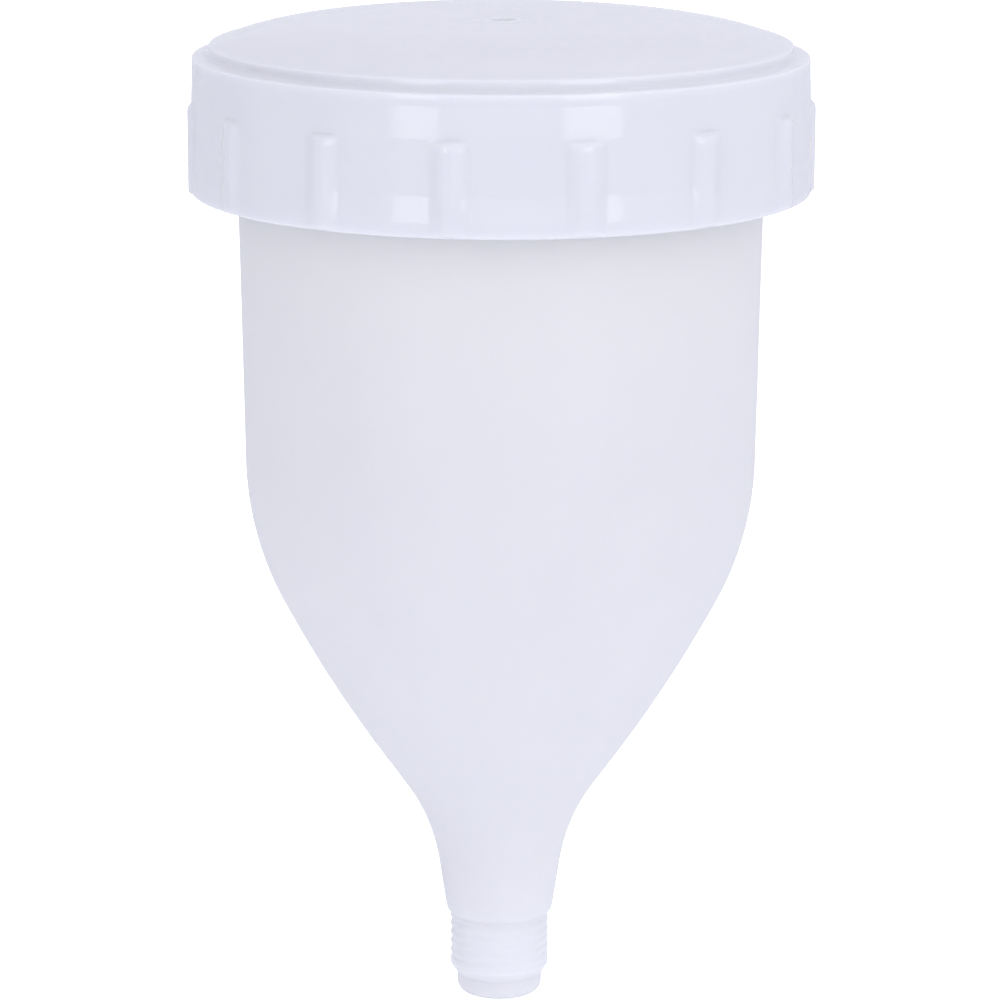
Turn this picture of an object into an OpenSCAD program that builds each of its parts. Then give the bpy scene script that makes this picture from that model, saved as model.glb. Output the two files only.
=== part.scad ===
// Gravity-feed paint cup with a screw lid: a funnel-bottomed plastic cup that stands on a
// threaded spigot, a ribbed screw lid with a vent, and a loose sealing ring between the two.
// +Z is up, along the common axis. The origin is on the axis, in the plane of the small
// shoulder that the spigot hangs from. Millimetres.

/* [Cup] */
// Outer radius of the cup's wall just under the mouth
cup_r = 20.8; // [20.6:0.1:21.0]
// Outer radius where the straight wall would meet the funnel
cup_low_r = 20.2; // [19.6:0.1:20.5]
// Height of the rim above the spigot's shoulder
rim_z = 67.9; // [66.9:0.1:68.1]
// Height of the corner between the straight wall and the funnel
shoulder_z = 32.1; // [30:0.1:34]
// Radius that rounds the corner between wall and funnel
shoulder_round = 25; // [18:0.5:28]
// Radius of the funnel half way down, at its slight bend
funnel_r = 13.9; // [13.2:0.1:14.2]
// Height of the funnel's slight bend
funnel_z = 19.9; // [19.5:0.1:20.5]
// Radius of the corner between funnel and neck
neck_r = 5.5; // [5.3:0.1:5.8]
// Height of the corner between funnel and neck
neck_z = 8.1; // [7.6:0.1:8.6]
// Radius that sweeps the funnel into the neck
neck_round = 16; // [10:0.5:18]
// Wall thickness of the cup
wall = 1.2; // [1.0:0.05:1.3]

/* [Spigot] */
// Crest radius of the spigot's fine thread
spigot_r = 4.0; // [3.8:0.05:4.1]
// Length of the full-diameter part of the spigot
spigot_len = 4.4; // [3.5:0.1:6]
// Radius of the plain nose that leads the spigot in
nose_r = 3.45; // [3.2:0.05:3.6]
// Length of the nose, with its lead-in cone
nose_len = 2.4; // [1.6:0.1:3]
// Radius of the paint outlet through the spigot
outlet_r = 2.5; // [2:0.05:2.7]

/* [Lid] */
// Outer radius of the lid's skirt at its shoulder
lid_r = 24.2; // [24:0.05:24.6]
// How much wider the skirt is at its lower edge, as draft
lid_draft = 0.15; // [0:0.05:0.2]
// Radius of the raised disc on top
disc_r = 22.82; // [22.6:0.02:23]
// Height of the skirt's lower edge
skirt_z = 59.6; // [59:0.1:60.4]
// Height of the lid's shoulder, where the raised disc starts
lid_shoulder_z = 70.2; // [69.8:0.1:70.4]
// Height of the raised disc's edge
disc_z = 71.0; // [70.8:0.1:71.4]
// Rise of the disc from its edge to its middle
dome = 2.02; // [1.2:0.02:2.4]
// Inner radius of the skirt between the thread's turns
skirt_in_r = 22.6; // [22.55:0.05:22.7]
// Plastic thickness over the middle of the lid
lid_top = 1.3; // [1.0:0.1:1.5]
// Radius of the vent hole in the middle of the lid
vent_r = 0.9; // [0.6:0.1:1.2]

/* [Grip ribs] */
// Number of grip ribs round the skirt
rib_count = 15; // [10:1:20]
// Radius of each rib's round face
rib_r = 1.3; // [1.0:0.05:1.4]
// How far the ribs stand out of the skirt
rib_out = 0.45; // [0.3:0.05:0.5]
// Height of the ribs' upper ends
rib_top_z = 66.9; // [65:0.1:67]
// Angle of the first rib from +X, in degrees
rib_turn = 21; // [0:1:23]

/* [Screw thread] */
// Rise of the screw thread for each turn
pitch = 4; // [3.6:0.1:4.4]
// Crest radius of the thread on the cup
cup_crest_r = 22.0; // [21.8:0.05:22.1]
// Crest radius of the thread inside the lid
lid_crest_r = 21.2; // [21.15:0.05:21.4]
// Turns of thread on the cup
cup_turns = 1.25; // [1:0.05:1.3]
// Turns of thread inside the lid
lid_turns = 1.0; // [0.8:0.05:1.1]

/* [Sealing ring] */
// Inner radius of the sealing ring
ring_in_r = 19.2; // [19.1:0.1:19.4]
// Outer radius of the sealing ring
ring_out_r = 22.1; // [21.6:0.1:22.2]
// Thickness of the sealing ring
ring_t = 0.7; // [0.5:0.05:0.75]

/* [Hidden] */
$fn = 120;

milky = [0.90, 0.90, 0.95];
milky_lid = [0.88, 0.88, 0.94];
clearer = [0.93, 0.94, 0.97];

gap = 0.05;                        // left between the ring and what it seals against
seat_z = rim_z + ring_t + 2 * gap; // the face inside the lid that presses on the ring
inner_r = 19.0;                    // the thick ring of the lid's top starts here
seg = 48;                          // thread rings in one turn

// Unit vector from a to b
function unit(a, b) = (b - a) / norm(b - a);

// A corner b between a and c, rounded to radius r, as n + 1 points
function round_corner(a, b, c, r, n) =
    let (u = unit(b, a), v = unit(b, c),
         ang = acos(max(-1, min(1, u * v))),
         mid = (u + v) / norm(u + v),
         o = b + mid * r / sin(ang / 2),
         p = b + u * r / tan(ang / 2),
         q = b + v * r / tan(ang / 2),
         a0 = atan2(p[1] - o[1], p[0] - o[0]),
         a1 = atan2(q[1] - o[1], q[0] - o[0]),
         d = a1 - a0,
         sweep = d > 180 ? d - 360 : d < -180 ? d + 360 : d)
    [for (i = [0:n]) o + r * [cos(a0 + sweep * i / n), sin(a0 + sweep * i / n)]];

// A line through corners pts, where rs[i] rounds corner i and 0 keeps it sharp
function rounded(pts, rs, n = 8) =
    [for (i = [0:len(pts) - 1])
        for (p = (i == 0 || i == len(pts) - 1 || rs[i] == 0)
                 ? [pts[i]]
                 : round_corner(pts[i - 1], pts[i], pts[i + 1], rs[i], n)) p];

// The line through pts moved sideways by t, towards the axis when pts climbs
function side(a, b, t) = let (u = unit(a, b)) [-u[1], u[0]] * t;
function cross2(a, b) = a[0] * b[1] - a[1] * b[0];
function meet(a, da, b, db) = a + da * cross2(b - a, db) / cross2(da, db);
function inset(pts, t) =
    [for (i = [0:len(pts) - 1])
        i == 0 ? pts[0] + side(pts[0], pts[1], t)
        : i == len(pts) - 1 ? pts[i] + side(pts[i - 1], pts[i], t)
        : meet(pts[i - 1] + side(pts[i - 1], pts[i], t), pts[i] - pts[i - 1],
               pts[i + 1] + side(pts[i], pts[i + 1], t), pts[i + 1] - pts[i])];

// Corners of the cup's outside, from the neck's foot up to the rim
cup_line = [[4.4, 0.9], [neck_r, neck_z], [funnel_r, funnel_z],
            [cup_low_r, shoulder_z], [cup_r, rim_z]];
// Tangent of half the angle that the line turns through at corner i
function half_turn(pts, i) =
    tan(acos(min(1, unit(pts[i - 1], pts[i]) * unit(pts[i], pts[i + 1]))) / 2);
// The funnel's slight bend is rounded as widely as its neighbours leave room for
bend_round = min(
    norm(cup_line[3] - cup_line[2]) - shoulder_round * half_turn(cup_line, 3) - 0.2,
    norm(cup_line[2] - cup_line[1]) - neck_round * half_turn(cup_line, 1) - 0.2)
    / half_turn(cup_line, 2);
cup_rounds = [0, neck_round, bend_round, shoulder_round, 0];
cup_in_line = inset(cup_line, wall);
cup_in_rounds = [0, neck_round + wall, bend_round - wall, shoulder_round - wall, 0];

// Height of the lid's top face at radius r: nearly flat in the middle, falling to the edge
function top_z(r) = disc_z + dome * (1 - pow(r / disc_r, 5));

// One helical ridge. r0 is the wall it grows from and r1 its crest, either way round;
// z0 is the height of its middle at angle a0; it runs for the given turns. Its half-width
// is w0 at the wall and w1 at the crest, and its two ends ramp down over a few rings.
module ridge(r0, r1, w0, w1, z0, a0, turns) {
    n = round(seg * turns);
    dir = r1 > r0 ? 1 : -1;
    base = r0 - dir * 0.4;
    wb = w0 + 0.4 * (w0 - w1) / abs(r1 - r0);
    function lift(i) = min(1, 0.35 + 0.2 * min(i, n - i));
    pts = [for (i = [0:n])
        let (a = a0 + 360 * i / seg, z = z0 + pitch * i / seg,
             k = lift(i), rc = r0 + (r1 - r0) * k, wc = w0 + (w1 - w0) * k,
             c = cos(a), s = sin(a))
        for (q = [[base, -wb], [rc, -wc], [rc, wc], [base, wb]])
            [q[0] * c, q[0] * s, z + q[1]]];
    quads = [for (i = [0:n - 1], j = [0:3])
        let (b = 4 * i, k = (j + 1) % 4)
        dir > 0 ? [b + j, b + k, b + 4 + k, b + 4 + j]
                : [b + 4 + j, b + 4 + k, b + k, b + j]];
    ends = dir > 0 ? [[3, 2, 1, 0], [4 * n, 4 * n + 1, 4 * n + 2, 4 * n + 3]]
                   : [[0, 1, 2, 3], [4 * n + 3, 4 * n + 2, 4 * n + 1, 4 * n]];
    tris = [for (f = concat(quads, ends), t = [[0, 1, 2], [0, 2, 3]]) [for (i = t) f[i]]];
    polyhedron(points = pts, faces = tris, convexity = 6);
}

// The cup: spigot, neck, funnel, straight wall and threaded mouth, in one moulding
module cup() {
    outside = concat(
        [[outlet_r, -spigot_len - nose_len], [nose_r - 0.5, -spigot_len - nose_len],
         [nose_r, -spigot_len - nose_len + 0.5], [nose_r, -spigot_len - 0.8],
         [spigot_r, -spigot_len], [spigot_r, 0], [spigot_r + 0.25, 0.25]],
        rounded(cup_line, cup_rounds, 10));
    top = [[cup_r - 0.35, rim_z], [cup_in_line[4][0] + 0.35, rim_z]];
    body = [for (i = [0:len(outside) - 2]) outside[i]];
    inside = rounded(cup_in_line, cup_in_rounds, 10);
    color(milky) union() {
        rotate_extrude($fn = 120)
            polygon(concat(body, [[cup_r, rim_z - 0.35]], top,
                           [[cup_in_line[4][0], rim_z - 0.35]],
                           [for (i = [len(inside) - 2:-1:0]) inside[i]],
                           [[outlet_r, 0]]));
        ridge(cup_r - 0.06, cup_crest_r, 1.0, 0.4, 61.6, 40, cup_turns);
    }
}

// A flat ring under the lid's top, which the lid presses on the cup's rim
module sealing_ring() {
    color(clearer)
        rotate_extrude($fn = 120)
            polygon([[ring_in_r, rim_z + gap], [ring_out_r, rim_z + gap],
                     [ring_out_r, rim_z + gap + ring_t], [ring_in_r, rim_z + gap + ring_t]]);
}

// The lid's own moulding, without ribs and thread
module lid_shell() {
    low_r = lid_r + lid_draft;
    skirt = rounded([[skirt_in_r + 0.5, skirt_z], [low_r, skirt_z], [lid_r, lid_shoulder_z],
                     [disc_r + 0.02, lid_shoulder_z + 0.15], [disc_r, disc_z + 0.1],
                     [disc_r - 1.2, top_z(disc_r - 1.2)]],
                    [0, 0.3, 0.4, 0.25, 0.4, 0], 5);
    face = [for (i = [1:16]) let (r = disc_r - 1.2 - (disc_r - 1.2 - 1.7) * i / 16) [r, top_z(r)]];
    lip = [[vent_r + 0.2, top_z(vent_r)], [vent_r, top_z(vent_r) - 0.2]];
    under = [for (i = [0:12]) let (r = vent_r + (inner_r - 1.2 - vent_r) * i / 12)
        [r, top_z(r) - lid_top]];
    color(milky_lid)
        rotate_extrude($fn = 120)
            polygon(concat(skirt, face, lip, under,
                           [[inner_r - 0.4, top_z(inner_r) - lid_top - 0.5],
                            [inner_r, seat_z], [skirt_in_r, seat_z],
                            [skirt_in_r, skirt_z + 0.6]]));
}

// One grip rib, standing at the skirt's outer face: a round bar cut off inside the skirt
module rib() {
    intersection() {
        translate([lid_r + rib_out - rib_r, 0, 0]) {
            translate([0, 0, skirt_z + 0.3]) cylinder(r = rib_r, h = rib_top_z - 0.3 - skirt_z - 0.5, $fn = 32);
            translate([0, 0, rib_top_z - 0.5]) cylinder(r1 = rib_r, r2 = rib_r - 0.45, h = 0.5, $fn = 32);
            translate([0, 0, skirt_z + 0.1]) cylinder(r1 = rib_r - 0.2, r2 = rib_r, h = 0.2, $fn = 32);
        }
        translate([(skirt_in_r + lid_r) / 2, -3, skirt_z]) cube([4, 6, rib_top_z - skirt_z]);
    }
}

// The screw lid: domed top, shoulder, ribbed skirt and inside thread, in one moulding
module screw_lid() {
    color(milky_lid) union() {
        lid_shell();
        for (i = [0:rib_count - 1]) rotate([0, 0, rib_turn + i * 360 / rib_count]) rib();
        ridge(skirt_in_r + 0.06, lid_crest_r, 1.0, 0.4,
              61.6 + pitch * (200 - 40) / 360 - 1.5, 200, lid_turns);
    }
}

cup();
sealing_ring();
screw_lid();
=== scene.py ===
import math
import bpy
import numpy as np
from mathutils import Matrix, Vector


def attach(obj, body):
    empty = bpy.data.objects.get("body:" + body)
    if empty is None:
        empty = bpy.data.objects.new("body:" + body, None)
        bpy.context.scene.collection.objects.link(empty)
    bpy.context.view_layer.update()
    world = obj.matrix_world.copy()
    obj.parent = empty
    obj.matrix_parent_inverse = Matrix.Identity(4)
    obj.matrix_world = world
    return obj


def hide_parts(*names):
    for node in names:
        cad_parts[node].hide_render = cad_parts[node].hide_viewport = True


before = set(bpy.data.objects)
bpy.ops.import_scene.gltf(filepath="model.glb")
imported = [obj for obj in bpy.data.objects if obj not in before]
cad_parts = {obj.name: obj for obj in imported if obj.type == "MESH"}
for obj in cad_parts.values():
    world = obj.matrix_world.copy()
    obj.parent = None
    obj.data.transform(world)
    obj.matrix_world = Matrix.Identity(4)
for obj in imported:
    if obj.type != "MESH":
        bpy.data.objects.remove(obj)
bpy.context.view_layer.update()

MM = 0.001
scene = bpy.context.scene


# ---------------------------------------------------------------------------
# Outlines, in millimetres as (radius, height)
# ---------------------------------------------------------------------------

def unit(v):
    return v / np.linalg.norm(v)


def round_corner(a, b, c, r, n):
    """The corner b between a and c, rounded to radius r, as n + 1 points."""
    u, v = unit(a - b), unit(c - b)
    ang = math.acos(max(-1.0, min(1.0, float(u @ v))))
    mid = unit(u + v)
    o = b + mid * r / math.sin(ang / 2)
    p, q = b + u * r / math.tan(ang / 2), b + v * r / math.tan(ang / 2)
    a0 = math.atan2(*(p - o)[::-1])
    a1 = math.atan2(*(q - o)[::-1])
    d = (a1 - a0 + math.pi) % (2 * math.pi) - math.pi
    return [o + r * np.array([math.cos(a0 + d * i / n), math.sin(a0 + d * i / n)]) for i in range(n + 1)]


def rounded(corners, radii, n=8):
    """A line through corners, each rounded to its radius. 0 keeps a corner sharp."""
    pts = [np.array(c, float) for c in corners]
    out = []
    for i, p in enumerate(pts):
        if i in (0, len(pts) - 1) or radii[i] == 0:
            out.append(p)
        else:
            out += round_corner(pts[i - 1], p, pts[i + 1], radii[i], n)
    return out


def inset(corners, t):
    """The line through corners moved sideways by t."""
    pts = [np.array(c, float) for c in corners]

    def side(a, b):
        u = unit(b - a)
        return np.array([-u[1], u[0]]) * t

    out = []
    for i, p in enumerate(pts):
        if i == 0:
            out.append(p + side(p, pts[1]))
        elif i == len(pts) - 1:
            out.append(p + side(pts[-2], p))
        else:
            a, da = pts[i - 1] + side(pts[i - 1], p), p - pts[i - 1]
            b, db = pts[i + 1] + side(p, pts[i + 1]), pts[i + 1] - p
            k = ((b - a)[0] * db[1] - (b - a)[1] * db[0]) / (da[0] * db[1] - da[1] * db[0])
            out.append(a + da * k)
    return out


def dense(points, step):
    """The same line with extra points, so that no stretch is longer than step(height) says."""
    out = [np.array(points[0], float)]
    for p in points[1:]:
        p = np.array(p, float)
        a = out[-1]
        n = max(1, int(math.ceil(np.linalg.norm(p - a) / step((a + p) / 2))))
        for i in range(1, n + 1):
            out.append(a + (p - a) * i / n)
    return out


# ---------------------------------------------------------------------------
# Turned shapes with threads and ribs
# ---------------------------------------------------------------------------

def lathe(name, outline, angles, shape=None):
    """A closed outline turned about Z. shape(radius, height, angle) gives the real radius at each point."""
    pts = np.array(outline, float)
    n, m = len(pts), len(angles)
    r = np.repeat(pts[:, 0][:, None], m, 1)
    z = np.repeat(pts[:, 1][:, None], m, 1)
    a = np.repeat(np.array(angles)[None, :], n, 0)
    if shape is not None:
        r, z = shape(r, z, a)
    co = np.stack([r * np.cos(a), r * np.sin(a), z], -1).reshape(-1, 3) * MM
    faces = []
    for i in range(n):
        k = (i + 1) % n
        for j in range(m):
            l = (j + 1) % m
            faces.append((i * m + j, i * m + l, k * m + l, k * m + j))
    mesh = bpy.data.meshes.new(name)
    mesh.from_pydata([tuple(c) for c in co], [], faces)
    mesh.validate()
    mesh.update()
    mesh.shade_smooth()
    ob = bpy.data.objects.new(name, mesh)
    scene.collection.objects.link(ob)
    return ob


def smooth(x):
    x = np.clip(x, 0, 1)
    return x * x * (3 - 2 * x)


def helix_ridge(z, a, z0, a0, pitch, turns, w_top, w_foot, ramp):
    """Height, 0 to 1, of a helical ridge at height z and angle a. It starts at z0, a0 and climbs with the angle."""
    best = np.zeros_like(z)
    base = (a - a0) % (2 * math.pi)
    for k in range(int(math.ceil(turns)) + 1):
        t = base / (2 * math.pi) + k
        inside = smooth(t / ramp) * smooth((turns - t) / ramp) * (t <= turns)
        d = np.abs(z - (z0 + pitch * t))
        best = np.maximum(best, inside * (1 - smooth((d - w_top) / (w_foot - w_top))))
    return best


# ---- cup ------------------------------------------------------------------

SPIGOT_R, SPIGOT_LEN, NOSE_R, NOSE_LEN, OUTLET_R = 4.0, 4.4, 3.45, 2.4, 2.5
CUP_R, RIM_Z, WALL = 20.8, 67.9, 1.2
CUP_LINE = [(4.4, 0.9), (5.5, 8.1), (13.9, 19.9), (20.2, 32.1), (20.8, 67.9)]
FINE_PITCH = 0.75


def half_turn(p, i):
    a, b, c = (np.array(q, float) for q in p[i - 1:i + 2])
    return math.tan(math.acos(min(1.0, float(unit(b - a) @ unit(c - b)))) / 2)


def length(p, i, k):
    return float(np.linalg.norm(np.array(p[i], float) - np.array(p[k], float)))


BEND = min(length(CUP_LINE, 3, 2) - 25 * half_turn(CUP_LINE, 3) - 0.2,
           length(CUP_LINE, 2, 1) - 16 * half_turn(CUP_LINE, 1) - 0.2) / half_turn(CUP_LINE, 2)


def cup_outline():
    low = -SPIGOT_LEN - NOSE_LEN
    foot = rounded([(OUTLET_R, low + 1.0), (OUTLET_R, low), (NOSE_R, low), (NOSE_R, -SPIGOT_LEN - 0.8),
                    (SPIGOT_R, -SPIGOT_LEN), (SPIGOT_R, 0), (SPIGOT_R + 0.27, 0.27), CUP_LINE[0]],
                   [0, 0.12, 0.8, 0.2, 0.15, 0.1, 0.15, 0], 6)
    wall = rounded(CUP_LINE, [0, 16, BEND, 25, 0], 24)[1:-1]
    inner = inset(CUP_LINE, WALL)
    inside = rounded(inner, [0, 16 + WALL, BEND - WALL, 25 - WALL, 0], 24)
    in_r = inner[-1][0]
    rim = rounded([(CUP_R, RIM_Z - 1.5), (CUP_R, RIM_Z), (in_r, RIM_Z), (in_r, RIM_Z - 1.5)], [0, 0.4, 0.4, 0], 6)
    down = rounded([inside[1], inside[0], (OUTLET_R, 0.0), (OUTLET_R, low + 1.0)], [0, 0.6, 0.6, 0], 5)
    line = foot[:-1] + [np.array(CUP_LINE[0])] + wall + rim + inside[-2:1:-1] + down[1:-1]

    def step(p):
        if -SPIGOT_LEN - 0.2 < p[1] < 0.2 and p[0] > 3.6:
            return 0.055
        if 58.5 < p[1] < 67.9 and p[0] > 20.3:
            return 0.16
        return 0.8
    return dense(line, step)


def cup_shape(r, z, a):
    out = r.copy()
    # fine thread cut into the spigot, crests left at the full radius
    on = (r > 3.7) & (z < 0.15) & (z > -SPIGOT_LEN - 0.05)
    phase = ((z / FINE_PITCH - a / (2 * math.pi)) % 1.0)
    # cut deeper on the two flanks than on the faces where the mould parts
    cut = 0.14 * smooth(1.15 - 1.15 * np.abs(2 * phase - 1)) * (0.22 + 0.78 * smooth((np.abs(np.cos(a)) - 0.55) / 0.35))
    fade = smooth((z + SPIGOT_LEN + 0.05) / 0.35) * smooth((0.0 - z) / 0.45)
    out = np.where(on, r - cut * fade, out)
    # screw thread on the mouth
    on = (r > 20.3) & (z > 58.0) & (z < 67.8)
    ridge = helix_ridge(z, a, 61.6, math.radians(40), 4.0, 1.25, 0.42, 1.0, 0.035)
    out = np.where(on, out + 1.2 * ridge, out)
    # faint unevenness of a thick-walled moulding
    wave = 0.02 * np.sin(2 * a + 0.6 + z * 0.05) + 0.012 * np.sin(3 * a - z * 0.11)
    body = smooth((z - 8) / 20) * smooth((58 - z) / 6)
    out = out + wave * body * (r > 8)
    return out, z


cup = lathe("cup_moulding", cup_outline(), np.linspace(0, 2 * math.pi, 288, endpoint=False), cup_shape)

# ---- sealing ring -----------------------------------------------------------

RING_IN, RING_OUT, RING_T, GAP = 19.2, 22.1, 0.7, 0.05


def ring_outline():
    z0, z1 = RIM_Z + GAP, RIM_Z + GAP + RING_T
    c = [(RING_IN, (z0 + z1) / 2), (RING_IN, z0), (RING_OUT, z0), (RING_OUT, z1), (RING_IN, z1), (RING_IN, (z0 + z1) / 2)]
    return dense(rounded(c, [0, 0.12, 0.12, 0.12, 0.12, 0], 4)[:-1], lambda p: 0.5)


ring = lathe("ring_moulding", ring_outline(), np.linspace(0, 2 * math.pi, 192, endpoint=False))

# ---- lid --------------------------------------------------------------------

LID_R, DRAFT, DISC_R, SKIRT_Z, SHOULDER_Z, DISC_Z, DOME = 24.2, 0.15, 22.82, 59.6, 70.2, 71.0, 2.02
SKIRT_IN, LID_TOP, VENT_R, SEAT_Z, INNER_R = 22.6, 1.3, 0.9, 68.7, 19.0
RIBS, RIB_OUT, RIB_TOP, RIB_TURN = 15, 0.42, 66.9, math.radians(21)


def top_z(r):
    return DISC_Z + DOME * (1 - (r / DISC_R) ** 5)


def lid_outline():
    low_r = LID_R + DRAFT
    # the skirt leans in a little above the ribs, stands upright between them, and flares to an upright
    # band along its lower edge; a narrow upright band ends it at the shoulder too
    skirt = rounded([(SKIRT_IN + 0.5, SKIRT_Z), (low_r + 0.01, SKIRT_Z), (low_r + 0.01, 60.7), (LID_R, 62.7),
                     (LID_R + 0.03, 66.9), (LID_R - 0.05, 69.3), (LID_R - 0.05, SHOULDER_Z),
                     (DISC_R + 0.02, SHOULDER_Z + 0.15), (DISC_R, DISC_Z + 0.1),
                     (DISC_R - 1.2, top_z(DISC_R - 1.2))], [0, 0.25, 5, 6, 3, 2, 0.16, 0.62, 0.2, 0], 8)
    face = [np.array([r, top_z(r)]) for r in np.linspace(DISC_R - 1.2, 2.3, 34)[1:]]
    face += [np.array([r, top_z(r)]) for r in np.linspace(2.3, 1.25, 18)[1:]]
    lip = [np.array(p) for p in [(1.14, top_z(1) - 0.015), (1.04, top_z(1) - 0.05), (0.96, top_z(1) - 0.11),
                                 (0.915, top_z(1) - 0.19), (VENT_R, top_z(1) - 0.3)]]
    under = [np.array([r, top_z(r) - LID_TOP]) for r in np.linspace(VENT_R, INNER_R - 1.2, 26)]
    cave = rounded([under[-1], (INNER_R - 0.4, top_z(INNER_R) - LID_TOP - 0.5), (INNER_R, SEAT_Z), (SKIRT_IN, SEAT_Z),
                    (SKIRT_IN, SKIRT_Z + 0.6), (SKIRT_IN + 0.5, SKIRT_Z)], [0, 0.3, 0.2, 0.15, 0.15, 0], 4)[1:-1]
    line = skirt + face + lip + under + cave

    def step(p):
        if p[0] > 24.0 and p[1] < 67.5:
            return 0.3
        if 22.4 < p[0] < 22.8 and p[1] < 68.6:
            return 0.16
        return 0.7
    return dense(line, step)


def lid_angles():
    """Even steps with extra ones across every rib."""
    extra = []
    for i in range(RIBS):
        c = RIB_TURN + i * 2 * math.pi / RIBS
        extra += [c + d * math.radians(1) for d in np.linspace(-4.1, 4.1, 31)]
    even = [a for a in np.linspace(0, 2 * math.pi, 216, endpoint=False)
            if min(abs((a - RIB_TURN + math.pi / RIBS) % (2 * math.pi / RIBS) - math.pi / RIBS), 9) > math.radians(4.4)]
    return sorted((a % (2 * math.pi)) for a in extra + even)


def lid_shape(r, z, a):
    out = r.copy()
    # grip ribs: low bars with sloping flanks, ended by a short slope
    d = ((a - RIB_TURN + math.pi / RIBS) % (2 * math.pi / RIBS) - math.pi / RIBS) * 24.2
    along = smooth((RIB_TOP - z) / 0.5) * smooth((z - SKIRT_Z - 0.05) / 0.25)
    across = 1 - smooth((np.abs(d) - 0.15) / 1.5)
    on = (r > 24.0) & (z < RIB_TOP + 0.1)
    out = np.where(on, r + np.clip(LID_R + RIB_OUT - r, 0, None) * along * across, out)
    # screw thread inside
    on = (r < 22.75) & (r > 22.45) & (z > SKIRT_Z + 0.5) & (z < SEAT_Z - 0.05)
    ridge = helix_ridge(z, a, 61.6 + 4.0 * 160 / 360 - 1.5, math.radians(200), 4.0, 1.0, 0.42, 1.0, 0.035)
    out = np.where(on, out - 1.4 * ridge, out)
    # the middle of the top: a hair lower round the vent, with the stub that moulding leaves beside it
    top = (z > top_z(r) - 0.6) & (r < 5)
    z = np.where(top, z - 0.09 * smooth((4.5 - r) / 2.5), z)
    stub = np.hypot(r * np.cos(a) - 1.72, r * np.sin(a)) / 0.2
    z = np.where(top, z + 0.085 * smooth(1.25 - stub), z)
    return out, z


lid = lathe("lid_moulding", lid_outline(), lid_angles(), lid_shape)


# ---------------------------------------------------------------------------
# Materials
# ---------------------------------------------------------------------------

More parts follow.
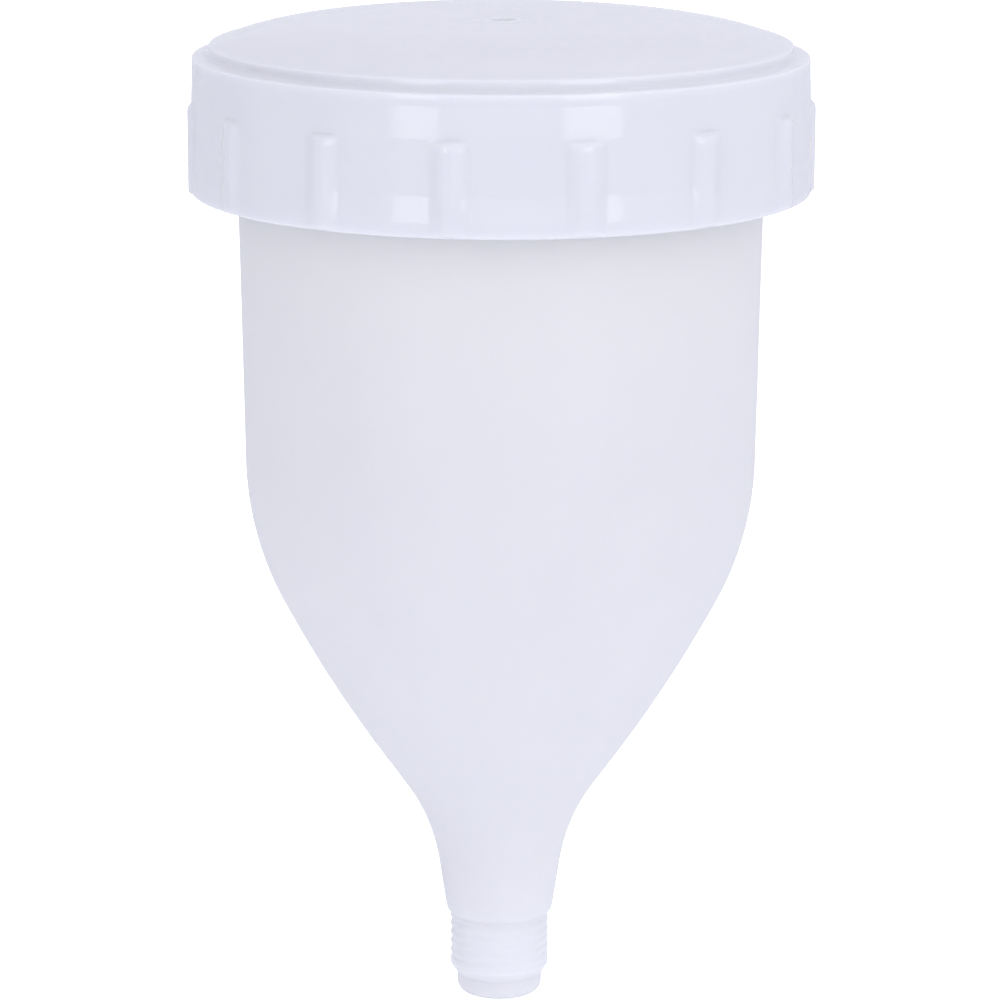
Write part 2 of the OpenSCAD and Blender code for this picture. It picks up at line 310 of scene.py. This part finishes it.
def milky(name, low, high, rough, radius, scatter, grain, spec=0.5, coat=0.0, rim=None):
    """Milky plastic: cloudy colour, slightly uneven gloss and a fine moulded skin; with rim, painted light that makes
    it paler towards the rim.
    """
    m = bpy.data.materials.new(name)
    m.use_nodes = True
    nt = m.node_tree
    n, l = nt.nodes, nt.links
    n.clear()
    out = n.new("ShaderNodeOutputMaterial")
    p = n.new("ShaderNodeBsdfPrincipled")
    l.new(p.outputs["BSDF"], out.inputs["Surface"])
    co = n.new("ShaderNodeTexCoord")

    cloud = n.new("ShaderNodeTexNoise")
    cloud.inputs["Scale"].default_value = 90
    cloud.inputs["Detail"].default_value = 3
    l.new(co.outputs["Object"], cloud.inputs["Vector"])
    # flow of the melt: stretched along the height
    flow_map = n.new("ShaderNodeMapping")
    flow_map.inputs["Scale"].default_value = (1, 1, 0.18)
    l.new(co.outputs["Object"], flow_map.inputs["Vector"])
    flow = n.new("ShaderNodeTexNoise")
    flow.inputs["Scale"].default_value = 240
    flow.inputs["Detail"].default_value = 4
    l.new(flow_map.outputs["Vector"], flow.inputs["Vector"])
    both = n.new("ShaderNodeMix")
    both.data_type = "FLOAT"
    both.inputs["Factor"].default_value = 0.4
    l.new(cloud.outputs["Fac"], both.inputs["A"])
    l.new(flow.outputs["Fac"], both.inputs["B"])
    ramp = n.new("ShaderNodeValToRGB")
    ramp.color_ramp.elements[0].position = 0.35
    ramp.color_ramp.elements[1].position = 0.65
    ramp.color_ramp.elements[0].color = (*low, 1)
    ramp.color_ramp.elements[1].color = (*high, 1)
    l.new(both.outputs["Result"], ramp.inputs["Fac"])
    colour = ramp.outputs["Color"]
    if rim:
        # painted light: paler towards the rim, standing in for the light that comes through the skirt there, which
        # lifts the shade under the skirt
        split = n.new("ShaderNodeSeparateXYZ")
        l.new(co.outputs["Object"], split.inputs["Vector"])
        up = n.new("ShaderNodeMapRange")
        up.inputs["From Min"].default_value = 0.028
        up.inputs["From Max"].default_value = 0.060
        l.new(split.outputs["Z"], up.inputs["Value"])
        power = n.new("ShaderNodeMath")
        power.operation = "POWER"
        power.inputs[1].default_value = 2.5
        l.new(up.outputs["Result"], power.inputs[0])
        painted_rim_light = n.new("ShaderNodeMix")
        painted_rim_light.data_type = "RGBA"
        l.new(power.outputs["Value"], painted_rim_light.inputs["Factor"])
        l.new(colour, painted_rim_light.inputs["A"])
        painted_rim_light.inputs["B"].default_value = (*rim, 1)
        colour = painted_rim_light.outputs["Result"]
    l.new(colour, p.inputs["Base Color"])

    # gloss: smooth, with duller patches and hair-fine rub marks
    rub = n.new("ShaderNodeTexNoise")
    rub.inputs["Scale"].default_value = 260
    rub.inputs["Detail"].default_value = 4
    l.new(co.outputs["Object"], rub.inputs["Vector"])
    gloss = n.new("ShaderNodeMapRange")
    gloss.inputs["From Min"].default_value = 0.3
    gloss.inputs["From Max"].default_value = 0.7
    gloss.inputs["To Min"].default_value = rough - 0.02
    gloss.inputs["To Max"].default_value = rough + 0.03
    l.new(rub.outputs["Fac"], gloss.inputs["Value"])
    l.new(gloss.outputs["Result"], p.inputs["Roughness"])

    skin = n.new("ShaderNodeTexNoise")
    skin.inputs["Scale"].default_value = 1500
    skin.inputs["Detail"].default_value = 3
    l.new(co.outputs["Object"], skin.inputs["Vector"])
    bump = n.new("ShaderNodeBump")
    bump.inputs["Strength"].default_value = grain
    bump.inputs["Distance"].default_value = 0.00002
    l.new(skin.outputs["Fac"], bump.inputs["Height"])
    l.new(bump.outputs["Normal"], p.inputs["Normal"])

    p.subsurface_method = "RANDOM_WALK"
    p.inputs["Subsurface Weight"].default_value = scatter
    p.inputs["Subsurface Radius"].default_value = (1.0, 1.0, 1.1)
    p.inputs["Subsurface Scale"].default_value = radius
    p.inputs["IOR"].default_value = 1.5
    p.inputs["Specular IOR Level"].default_value = spec
    p.inputs["Coat Weight"].default_value = coat
    p.inputs["Coat Roughness"].default_value = 0.12
    return m


# the rim colour is painted light: it whitens the cup's wall towards the rim to lift the shade under the lid's skirt
cup_mat = milky("cup_milky_plastic", (0.831, 0.834, 0.892), (0.851, 0.854, 0.907), 0.42, 0.002, 1.0, 0.2,
                rim=(0.912, 0.915, 0.99))
lid_mat = milky("lid_milky_plastic", (0.803, 0.806, 0.848), (0.823, 0.826, 0.864), 0.08, 0.0006, 1.0, 0.0)
ring_mat = milky("ring_soft_plastic", (0.82, 0.83, 0.90), (0.86, 0.87, 0.93), 0.45, 0.003, 1.0, 0.3)

for piece, mat, body, node, slot in (
        (cup, cup_mat, "cup", "cup", "cup_plastic"),
        (ring, ring_mat, "ring", "sealing_ring", "ring_plastic"),
        (lid, lid_mat, "lid", "screw_lid", "lid_plastic")):
    piece.data.materials.append(mat)
    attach(piece, body)
    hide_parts(node)


# ---------------------------------------------------------------------------
# Floor, backdrop, light and camera
# ---------------------------------------------------------------------------

FLOOR_GLOW = 0.245


def floor_and_back():
    """A pale floor that sweeps up behind the object."""
    low, back, r = -0.0070, 0.9, 0.35
    side = [(-0.9, low), (back - r, low)]
    side += [(back - r + r * math.sin(t), low + r - r * math.cos(t)) for t in np.linspace(0, math.pi / 2, 24)[1:]]
    side += [(back, 1.6)]
    verts, faces = [], []
    for x in (-1.6, 1.6):
        verts += [(x, y, z) for y, z in side]
    k = len(side)
    for i in range(k - 1):
        faces.append((i, k + i, k + i + 1, i + 1))
    mesh = bpy.data.meshes.new("pale_sweep")
    mesh.from_pydata(verts, [], faces)
    mesh.shade_smooth()
    ob = bpy.data.objects.new("pale_sweep", mesh)
    scene.collection.objects.link(ob)
    m = bpy.data.materials.new("pale_paper")
    m.use_nodes = True
    p = m.node_tree.nodes["Principled BSDF"]
    p.inputs["Base Color"].default_value = (0.95, 0.95, 0.95, 1)
    p.inputs["Roughness"].default_value = 0.9
    p.inputs["Specular IOR Level"].default_value = 0.1
    noise = m.node_tree.nodes.new("ShaderNodeTexNoise")
    noise.inputs["Scale"].default_value = 30
    ramp = m.node_tree.nodes.new("ShaderNodeValToRGB")
    ramp.color_ramp.elements[0].color = (0.83, 0.834, 0.866, 1)
    ramp.color_ramp.elements[1].color = (0.85, 0.854, 0.886, 1)
    m.node_tree.links.new(noise.outputs["Fac"], ramp.inputs["Fac"])
    m.node_tree.links.new(ramp.outputs["Color"], p.inputs["Base Color"])
    # the camera sees clean white paper, as in a cut-out studio picture; the object sees softer, paler paper
    p.inputs["Emission Color"].default_value = (0.95, 0.955, 1, 1)
    n, l = m.node_tree.nodes, m.node_tree.links
    path = n.new("ShaderNodeLightPath")
    glow = n.new("ShaderNodeMapRange")
    # the floor under and in front of the object glows like a light table, and the backdrop doesn't
    where = n.new("ShaderNodeTexCoord")
    reach = n.new("ShaderNodeVectorMath")
    reach.operation = "DISTANCE"
    reach.inputs[1].default_value = (0, -0.15, 0)
    low_part = n.new("ShaderNodeMapRange")
    low_part.interpolation_type = "SMOOTHSTEP"
    low_part.inputs["From Min"].default_value = 0.05
    low_part.inputs["From Max"].default_value = 0.5
    low_part.inputs["To Min"].default_value = FLOOR_GLOW
    low_part.inputs["To Max"].default_value = 0.0
    l.new(where.outputs["Object"], reach.inputs[0])
    l.new(reach.outputs["Value"], low_part.inputs["Value"])
    l.new(low_part.outputs["Result"], glow.inputs["To Min"])
    glow.inputs["To Max"].default_value = 1.25
    l.new(path.outputs["Is Camera Ray"], glow.inputs["Value"])
    l.new(glow.outputs["Result"], p.inputs["Emission Strength"])
    # the paper's back is clear, so that the object also shows from below
    back_side = n.new("ShaderNodeNewGeometry")
    clear = n.new("ShaderNodeBsdfTransparent")
    one_sided = n.new("ShaderNodeMixShader")
    l.new(back_side.outputs["Backfacing"], one_sided.inputs["Fac"])
    l.new(p.outputs["BSDF"], one_sided.inputs[1])
    l.new(clear.outputs["BSDF"], one_sided.inputs[2])
    l.new(one_sided.outputs["Shader"], n["Material Output"].inputs["Surface"])
    mesh.materials.append(m)


floor_and_back()

scene.view_settings.view_transform = "Standard"
scene.view_settings.look = "None"

world = bpy.data.worlds.new("soft_room")
scene.world = world
world.use_nodes = True
wn, wl = world.node_tree.nodes, world.node_tree.links
bg = wn["Background"]
bg.inputs["Color"].default_value = (0.935, 0.94, 1.0, 1)
w_co = wn.new("ShaderNodeTexCoord")
w_dot = wn.new("ShaderNodeVectorMath")
w_dot.operation = "DOT_PRODUCT"
wl.new(w_co.outputs["Generated"], w_dot.inputs[0])
w_dot.inputs[1].default_value = (0.16, -0.34, 0.02)
w_add = wn.new("ShaderNodeMath")
w_add.operation = "ADD"
wl.new(w_dot.outputs["Value"], w_add.inputs[0])
w_add.inputs[1].default_value = 0.94
# the two sides of the room are darker than its front and back
w_xyz = wn.new("ShaderNodeSeparateXYZ")
wl.new(w_co.outputs["Generated"], w_xyz.inputs["Vector"])
w_sq = wn.new("ShaderNodeMath")
w_sq.operation = "MULTIPLY"
wl.new(w_xyz.outputs["X"], w_sq.inputs[0])
wl.new(w_xyz.outputs["X"], w_sq.inputs[1])
w_side = wn.new("ShaderNodeMath")
w_side.operation = "MULTIPLY_ADD"
wl.new(w_sq.outputs["Value"], w_side.inputs[0])
w_side.inputs[1].default_value = -0.26
wl.new(w_add.outputs["Value"], w_side.inputs[2])
# past the paper's edges the camera sees the same clean white
w_path = wn.new("ShaderNodeLightPath")
w_seen = wn.new("ShaderNodeMapRange")
w_seen.inputs["To Max"].default_value = 1.25
wl.new(w_path.outputs["Is Camera Ray"], w_seen.inputs["Value"])
wl.new(w_side.outputs["Value"], w_seen.inputs["To Min"])
wl.new(w_seen.outputs["Result"], bg.inputs["Strength"])


def softbox(name, az, el, dist, w, h, power, target=(0, 0, 0.045)):
    """A rectangular lamp at azimuth az (0 is the camera's side, positive to the right) and elevation el."""
    t = Vector(target)
    a, e = math.radians(az), math.radians(el)
    pos = t + dist * Vector((math.sin(a) * math.cos(e), -math.cos(a) * math.cos(e), math.sin(e)))
    light = bpy.data.lights.new(name, "AREA")
    light.shape = "RECTANGLE"
    light.size, light.size_y = w, h
    light.energy = power
    light.color = (0.93, 0.935, 1.0)
    ob = bpy.data.objects.new(name, light)
    ob.location = pos
    ob.rotation_euler = (t - pos).to_track_quat("-Z", "Y").to_euler()
    # these two only show as reflections; the even light of the room does the rest
    ob.visible_diffuse = False
    scene.collection.objects.link(ob)
    return ob


def standing_box(name, az, dist, low, high, width, radiance):
    """A softbox standing on the table at azimuth az, from height low to high, seen from the lid."""
    area = width * (high - low)
    return softbox(name, az, 0, dist, width, high - low, radiance * math.pi * area, (0, 0, (low + high) / 2))


standing_box("left_box", -30.4, 0.55, 0.014, 0.30, 0.16, 1.6)
standing_box("right_box", 32.8, 0.55, 0.014, 0.30, 0.21, 1.7)

CAM_X, CAM_D, CAM_H, PITCH, ROLL, FOCAL = -0.02, 330.0, 111.8, 13.2, 0.12, 4234.0
cam_data = bpy.data.cameras.new("view")
cam_data.sensor_fit = "HORIZONTAL"
cam_data.sensor_width = 36.0
cam_data.lens = FOCAL / 1000.0 * 36.0
cam_data.clip_start = 0.01
cam_data.clip_end = 20
cam = bpy.data.objects.new("view", cam_data)
scene.collection.objects.link(cam)
cam.matrix_world = (Matrix.Translation((CAM_X * MM, -CAM_D * MM, CAM_H * MM))
                    @ Matrix.Rotation(math.radians(90 - PITCH), 4, "X") @ Matrix.Rotation(math.radians(ROLL), 4, "Z"))
scene.camera = cam
